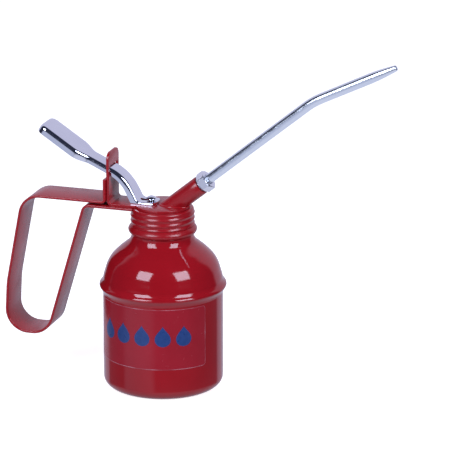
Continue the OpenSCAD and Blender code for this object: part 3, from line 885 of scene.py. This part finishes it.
def lever_rows():
    """Rows across the web: point, normal and distance along. They are closer at the pad's corners."""
    line = densified(rounded_line(LEVER_LINE, 12), 1.2)
    first, normal = line[0]
    direction = (line[1][0] - first).normalized()
    corner = [PAD_INSET * (1 - math.cos(math.radians(a))) for a in range(0, 91, 15)]
    rows = [(first + direction * s, normal, s) for s in corner]
    along = 0.0
    for (p, _), (q, n) in zip(line, line[1:]):
        along += (q - p).length
        if along > PAD_INSET + 0.3:
            rows.append((q, n, along))
    return rows


def row_at(rows, x):
    """Point and normal on the lever's line at a place x."""
    for (p, n, _), (q, m, _) in zip(rows, rows[1:]):
        if p.x <= x <= q.x:
            t = (x - p.x) / (q.x - p.x)
            return p.lerp(q, t), n.lerp(m, t).normalized()
    return rows[-1][0], rows[-1][1]


def build_lever():
    """Pressed channel: flat web, rolled edges and side walls that run round the end of the pad."""
    rows = lever_rows()
    width = len(COLUMNS)
    verts, normals, faces, plan = [], [], [], []

    def add(point, normal):
        verts.append(point)
        normals.append(normal.normalized())
        return len(verts) - 1

    # The web, as a grid of rows and columns. The plan holds each point's distance along and across.
    for p, n, s in rows:
        half = lever_half_width(p.x) - lever_edge_radius(p.x)
        if s < PAD_INSET:
            half -= PAD_INSET - math.sqrt(max(PAD_INSET ** 2 - (PAD_INSET - s) ** 2, 0))
        for share in COLUMNS:
            y = half * share
            q, m = p, n
            if p.x > FOOT_START:
                x = foot_shift(y, p.x)
                if x != p.x:
                    q, m = row_at(rows, x)
            add(Vector((q.x, y, q.y)), Vector((m.x, 0, m.y)))
            plan.append((s, y))
    slot_centre = sum(SLOT_X) / 2
    for i in range(len(rows) - 1):
        crosses_slot = rows[i][0].x <= slot_centre < rows[i + 1][0].x
        for k in range(width - 1):
            if crosses_slot and abs(COLUMNS[k] + COLUMNS[k + 1]) / 2 < SLOT_SHARE:
                continue
            c = i * width + k
            faces.append((c, c + 1, c + width + 1, c + width))
    # The rim runs up one side, round the end of the pad and down the other. Each of its points gets a ring
    # of the rolled edge and the wall below it.
    last = len(rows) - 1
    rim = [(i, width - 1) for i in range(last, 0, -1)] + [(0, k) for k in range(width - 1, -1, -1)]
    rim += [(i, 0) for i in range(1, last + 1)]
    rim_plan = [plan[i * width + k] for i, k in rim]
    pad_middle = Vector((8, 0))
    end_rows = 8
    rings = []
    for j, (i, k) in enumerate(rim):
        before, after = rim_plan[max(j - 1, 0)], rim_plan[min(j + 1, len(rim) - 1)]
        tangent = Vector((after[0] - before[0], after[1] - before[1])).normalized()
        out2 = Vector((-tangent.y, tangent.x))
        inwards = out2.y * COLUMNS[k] < 0
        if i <= end_rows:
            inwards = out2.dot(pad_middle - Vector(rim_plan[j])) > 0
        if inwards:
            out2 = -out2
        p, n, s = rows[i]
        origin, up = verts[i * width + k], normals[i * width + k]
        outward = Vector((n.y * out2.x, out2.y, -n.x * out2.x)).normalized()
        radius = lever_edge_radius(p.x)
        wall = max(lever_wall(p, n), radius + 0.03)
        ring = [i * width + k]
        for t in range(1, ROLL_STEPS + 1):
            phi = math.pi / 2 * t / ROLL_STEPS
            rolled = origin + outward * radius * math.sin(phi) - up * radius * (1 - math.cos(phi))
            ring.append(add(rolled, outward * math.sin(phi) + up * math.cos(phi)))
        for t in (0.35, 0.7, 0.93, 1.0):
            ring.append(add(origin + outward * radius - up * (radius + (wall - radius) * t), outward))
        rings.append(ring)
    for a, b in zip(rings, rings[1:]):
        for q in range(len(a) - 1):
            faces.append((a[q], b[q], b[q + 1], a[q + 1]))
    obj = thick_sheet("lever_channel", verts, normals, faces, LEVER_T, CHROME)
    add_bevel(obj, 0.3, 60)
    apply_modifiers(obj)
    smooth_by_angle(obj, 50)
    return place(obj, "lever", "chrome_plate", "lever")


def build_lever_lugs():
    """The two round lugs in the walls, on which the lever tips over the edge of the tab's slot."""
    half, chamfer = LEVER_T / 2, 0.2
    profile = [(POLE_R, -half), (LUG_R - chamfer, -half), (LUG_R, chamfer - half),
               (LUG_R, half - chamfer), (LUG_R - chamfer, half), (POLE_R, half)]
    for name, side in (("right", -1), ("left", 1)):
        lug = lathe(f"lever_lug_{name}", profile, CHROME, 32, closed=False)
        middle = Vector((LUG_PLACE[0], side * (NECK_HALF - half), LUG_PLACE[1])) * MM
        lug.data.transform(Matrix.Translation(middle) @ Matrix.Rotation(math.pi / 2, 4, "X"))
        place(lug, "lever", "chrome_plate")


def thick_sheet(name, verts, normals, faces, thickness, material):
    """A closed sheet from its outer surface: a copy one thickness inside, joined along every open edge."""
    count = len(verts)
    inner = [v - n * thickness for v, n in zip(verts, normals)]
    used = {}
    for face in faces:
        for a, b in zip(face, face[1:] + face[:1]):
            key = (min(a, b), max(a, b))
            used[key] = None if key in used else (a, b)
    all_faces = list(faces) + [tuple(count + k for k in reversed(face)) for face in faces]
    all_faces += [(b, a, count + a, count + b) for a, b in (e for e in used.values() if e)]
    return mesh_object(name, verts + inner, all_faces, material, 50)


ROD_R = 1.5
KNOB_DOME_R = 3.9
KNOB_UNDER_R = 4.5


def build_knob():
    """Lens-shaped head of the pump rod: two spheres that meet in a rounded rim."""
    top, bottom = KNOB_HIGH.z, KNOB_LOW.z
    centre = Vector(((KNOB_LOW.x + KNOB_HIGH.x) / 2, 0, 0))
    dome_r, under_r = KNOB_DOME_R, KNOB_UNDER_R
    dome_z, under_z = top - dome_r, bottom + under_r
    drop = under_z - dome_z
    rim_z = under_z - (drop ** 2 + under_r ** 2 - dome_r ** 2) / (2 * drop)
    rim_r = math.sqrt(dome_r ** 2 - (rim_z - dome_z) ** 2)
    a_under = math.asin(ROD_R / under_r)
    a_rim = math.asin(rim_r / under_r)
    under = [(under_r * math.sin(a), under_z - under_r * math.cos(a))
             for a in (a_under + (a_rim - a_under - 0.06) * i / 10 for i in range(11))]
    d_rim = math.asin(rim_r / dome_r)
    dome = [(dome_r * math.sin(a), dome_z + dome_r * math.cos(a))
            for a in ((d_rim - 0.07) * (1 - i / 14) for i in range(15))]
    dome[-1] = (POLE_R, dome[-1][1])
    obj = lathe("pump_rod_knob", under + [(rim_r - 0.05, rim_z)] + dome, CHROME, 64, closed=False)
    obj.data.transform(Matrix.Translation(centre * MM))
    return place(obj, "piston", "chrome_plate", "rod_knob")


build_cup()
build_dome()
build_label()
build_label_edge_highlight()
build_print()
build_cap()
build_handle()
build_bracket()
build_spout_base()
build_braze_fillet()
build_nipple()
build_nut()
build_tube()
build_lever()
build_lever_lugs()
build_knob()

# ---------------------------------------------------------------- stage, light and camera

CAMERA_AZ = 17.82
CAMERA_EL = 17.22
CAMERA_LENS = 288.8
CAMERA_DISTANCE = 2.1768
CAMERA_AIM = (0.0441, 0, 0.0947)
SOFTBOX_EL = 31.5
SOFTBOX_DISTANCE = 1.6
SOFTBOX_SIZE = (0.76, 0.82)
SOFTBOX_RADIANCE = 10.5
SOFTBOX_AIM = (0, 0, 0.08)
# Colours of the light and of what the plated parts mirror.
LAVENDER_LIGHT = (0.76, 0.83, 1.0)
PAPER = (0.62, 0.62, 0.79)
TABLE = (0.66, 0.69, 0.84)
TABLE_FAR = (0.15, 0.155, 0.20)
TABLE_LEFT = (0.52, 0.56, 0.72)
ROOM_DARK = (0.024, 0.028, 0.052)


def from_front(azimuth_deg, elevation_deg):
    """A direction. Azimuth 0 is in front (-Y), positive towards +X."""
    az, el = math.radians(azimuth_deg), math.radians(elevation_deg)
    return Vector((math.sin(az) * math.cos(el), -math.cos(az) * math.cos(el), math.sin(el)))


def build_floor():
    """White floor. It glows a little and stays out of mirror reflections, as in a cut-out studio picture."""
    size = 12
    corners = [(-size, -size, 0), (size, -size, 0), (size, size, 0), (-size, size, 0)]
    mesh = bpy.data.meshes.new("floor")
    mesh.from_pydata(corners, [], [(0, 1, 2, 3)])
    obj = bpy.data.objects.new("floor", mesh)
    bpy.context.scene.collection.objects.link(obj)
    obj.location.z = -0.00005  # a hair under the can's base
    obj.visible_glossy = False
    obj.visible_diffuse = False
    m = Nodes("floor_white")
    m.set(Base_Color=(0.85, 0.85, 0.85), Roughness=0.9, Specular_IOR_Level=0.0,
          Emission_Color=(1.0, 0.98, 0.95), Emission_Strength=0.72)
    mesh.materials.append(m.material)


def softbox(name, azimuth_deg):
    """A rectangular area light, aimed at the can."""
    width, height = SOFTBOX_SIZE
    data = bpy.data.lights.new(name, "AREA")
    data.shape = "RECTANGLE"
    data.size = width
    data.size_y = height
    data.color = LAVENDER_LIGHT
    data.energy = SOFTBOX_RADIANCE * math.pi * width * height
    obj = bpy.data.objects.new(name, data)
    bpy.context.scene.collection.objects.link(obj)
    direction = from_front(azimuth_deg, SOFTBOX_EL)
    obj.location = Vector(SOFTBOX_AIM) + direction * SOFTBOX_DISTANCE
    obj.rotation_euler = direction.to_track_quat("Z", "Y").to_euler()


def build_world():
    """Pale lavender paper behind and below, a light patch low on the left, dim room in front and above."""
    world = bpy.data.worlds.new("studio")
    bpy.context.scene.world = world
    world.use_nodes = True
    tree = world.node_tree
    coords = tree.nodes.new("ShaderNodeTexCoord")

    def dot_with(direction):
        """How far the direction looked in agrees with the one given, from -1 to 1."""
        dot = tree.nodes.new("ShaderNodeVectorMath")
        dot.operation = "DOT_PRODUCT"
        dot.inputs[1].default_value = Vector(direction).normalized()
        tree.links.new(coords.outputs["Generated"], dot.inputs[0])
        return dot.outputs["Value"]

    def ramp(value, *stops):
        """A soft blend of colours at stops from -1 to 1, which the ramp itself holds as 0 to 1."""
        half = tree.nodes.new("ShaderNodeMath")
        half.operation = "MULTIPLY_ADD"
        half.inputs[1].default_value = half.inputs[2].default_value = 0.5
        tree.links.new(value, half.inputs[0])
        node = tree.nodes.new("ShaderNodeValToRGB")
        node.color_ramp.interpolation = "EASE"
        for _ in range(len(stops) - 2):
            node.color_ramp.elements.new(0.5)
        for element, (position, color) in zip(node.color_ramp.elements, stops):
            element.position = (position + 1) / 2
            element.color = (*color, 1)
        tree.links.new(half.outputs["Value"], node.inputs["Fac"])
        return node.outputs["Color"]

    def lighter(a, b):
        """The lighter of two colours, channel by channel."""
        node = tree.nodes.new("ShaderNodeMix")
        node.data_type = "RGBA"
        node.blend_type = "LIGHTEN"
        node.inputs["Factor"].default_value = 1.0
        for color, socket in zip((a, b), color_sockets(node.inputs)):
            tree.links.new(color, socket)
        return color_sockets(node.outputs)[0]

    az = math.radians(CAMERA_AZ)
    back = ramp(dot_with((-math.sin(az), math.cos(az), 0.25)), (0.40, ROOM_DARK), (0.56, PAPER))
    below = ramp(dot_with((0, 0, 1)), (-0.58, TABLE), (-0.34, TABLE_FAR), (-0.08, ROOM_DARK))
    left = ramp(dot_with((-0.45, -0.75, -0.5)), (0.80, ROOM_DARK), (0.92, TABLE_LEFT))
    sky = lighter(lighter(back, below), left)
    background = tree.nodes["Background"]
    tree.links.new(sky, background.inputs["Color"])
    background.inputs["Strength"].default_value = 1.0


def build_camera():
    """Long lens from the photo's side, slightly above."""
    data = bpy.data.cameras.new("camera")
    data.lens = CAMERA_LENS
    data.sensor_width = 36
    data.clip_start = 0.05
    data.clip_end = 50
    obj = bpy.data.objects.new("camera", data)
    bpy.context.scene.collection.objects.link(obj)
    back = from_front(CAMERA_AZ, CAMERA_EL)
    obj.location = Vector(CAMERA_AIM) + back * CAMERA_DISTANCE
    obj.rotation_euler = back.to_track_quat("Z", "Y").to_euler()
    bpy.context.scene.camera = obj


build_floor()
build_world()
softbox("left_softbox", CAMERA_AZ - 41)
softbox("right_softbox", CAMERA_AZ + 44)
build_camera()
bpy.context.scene.view_settings.view_transform = "Standard"
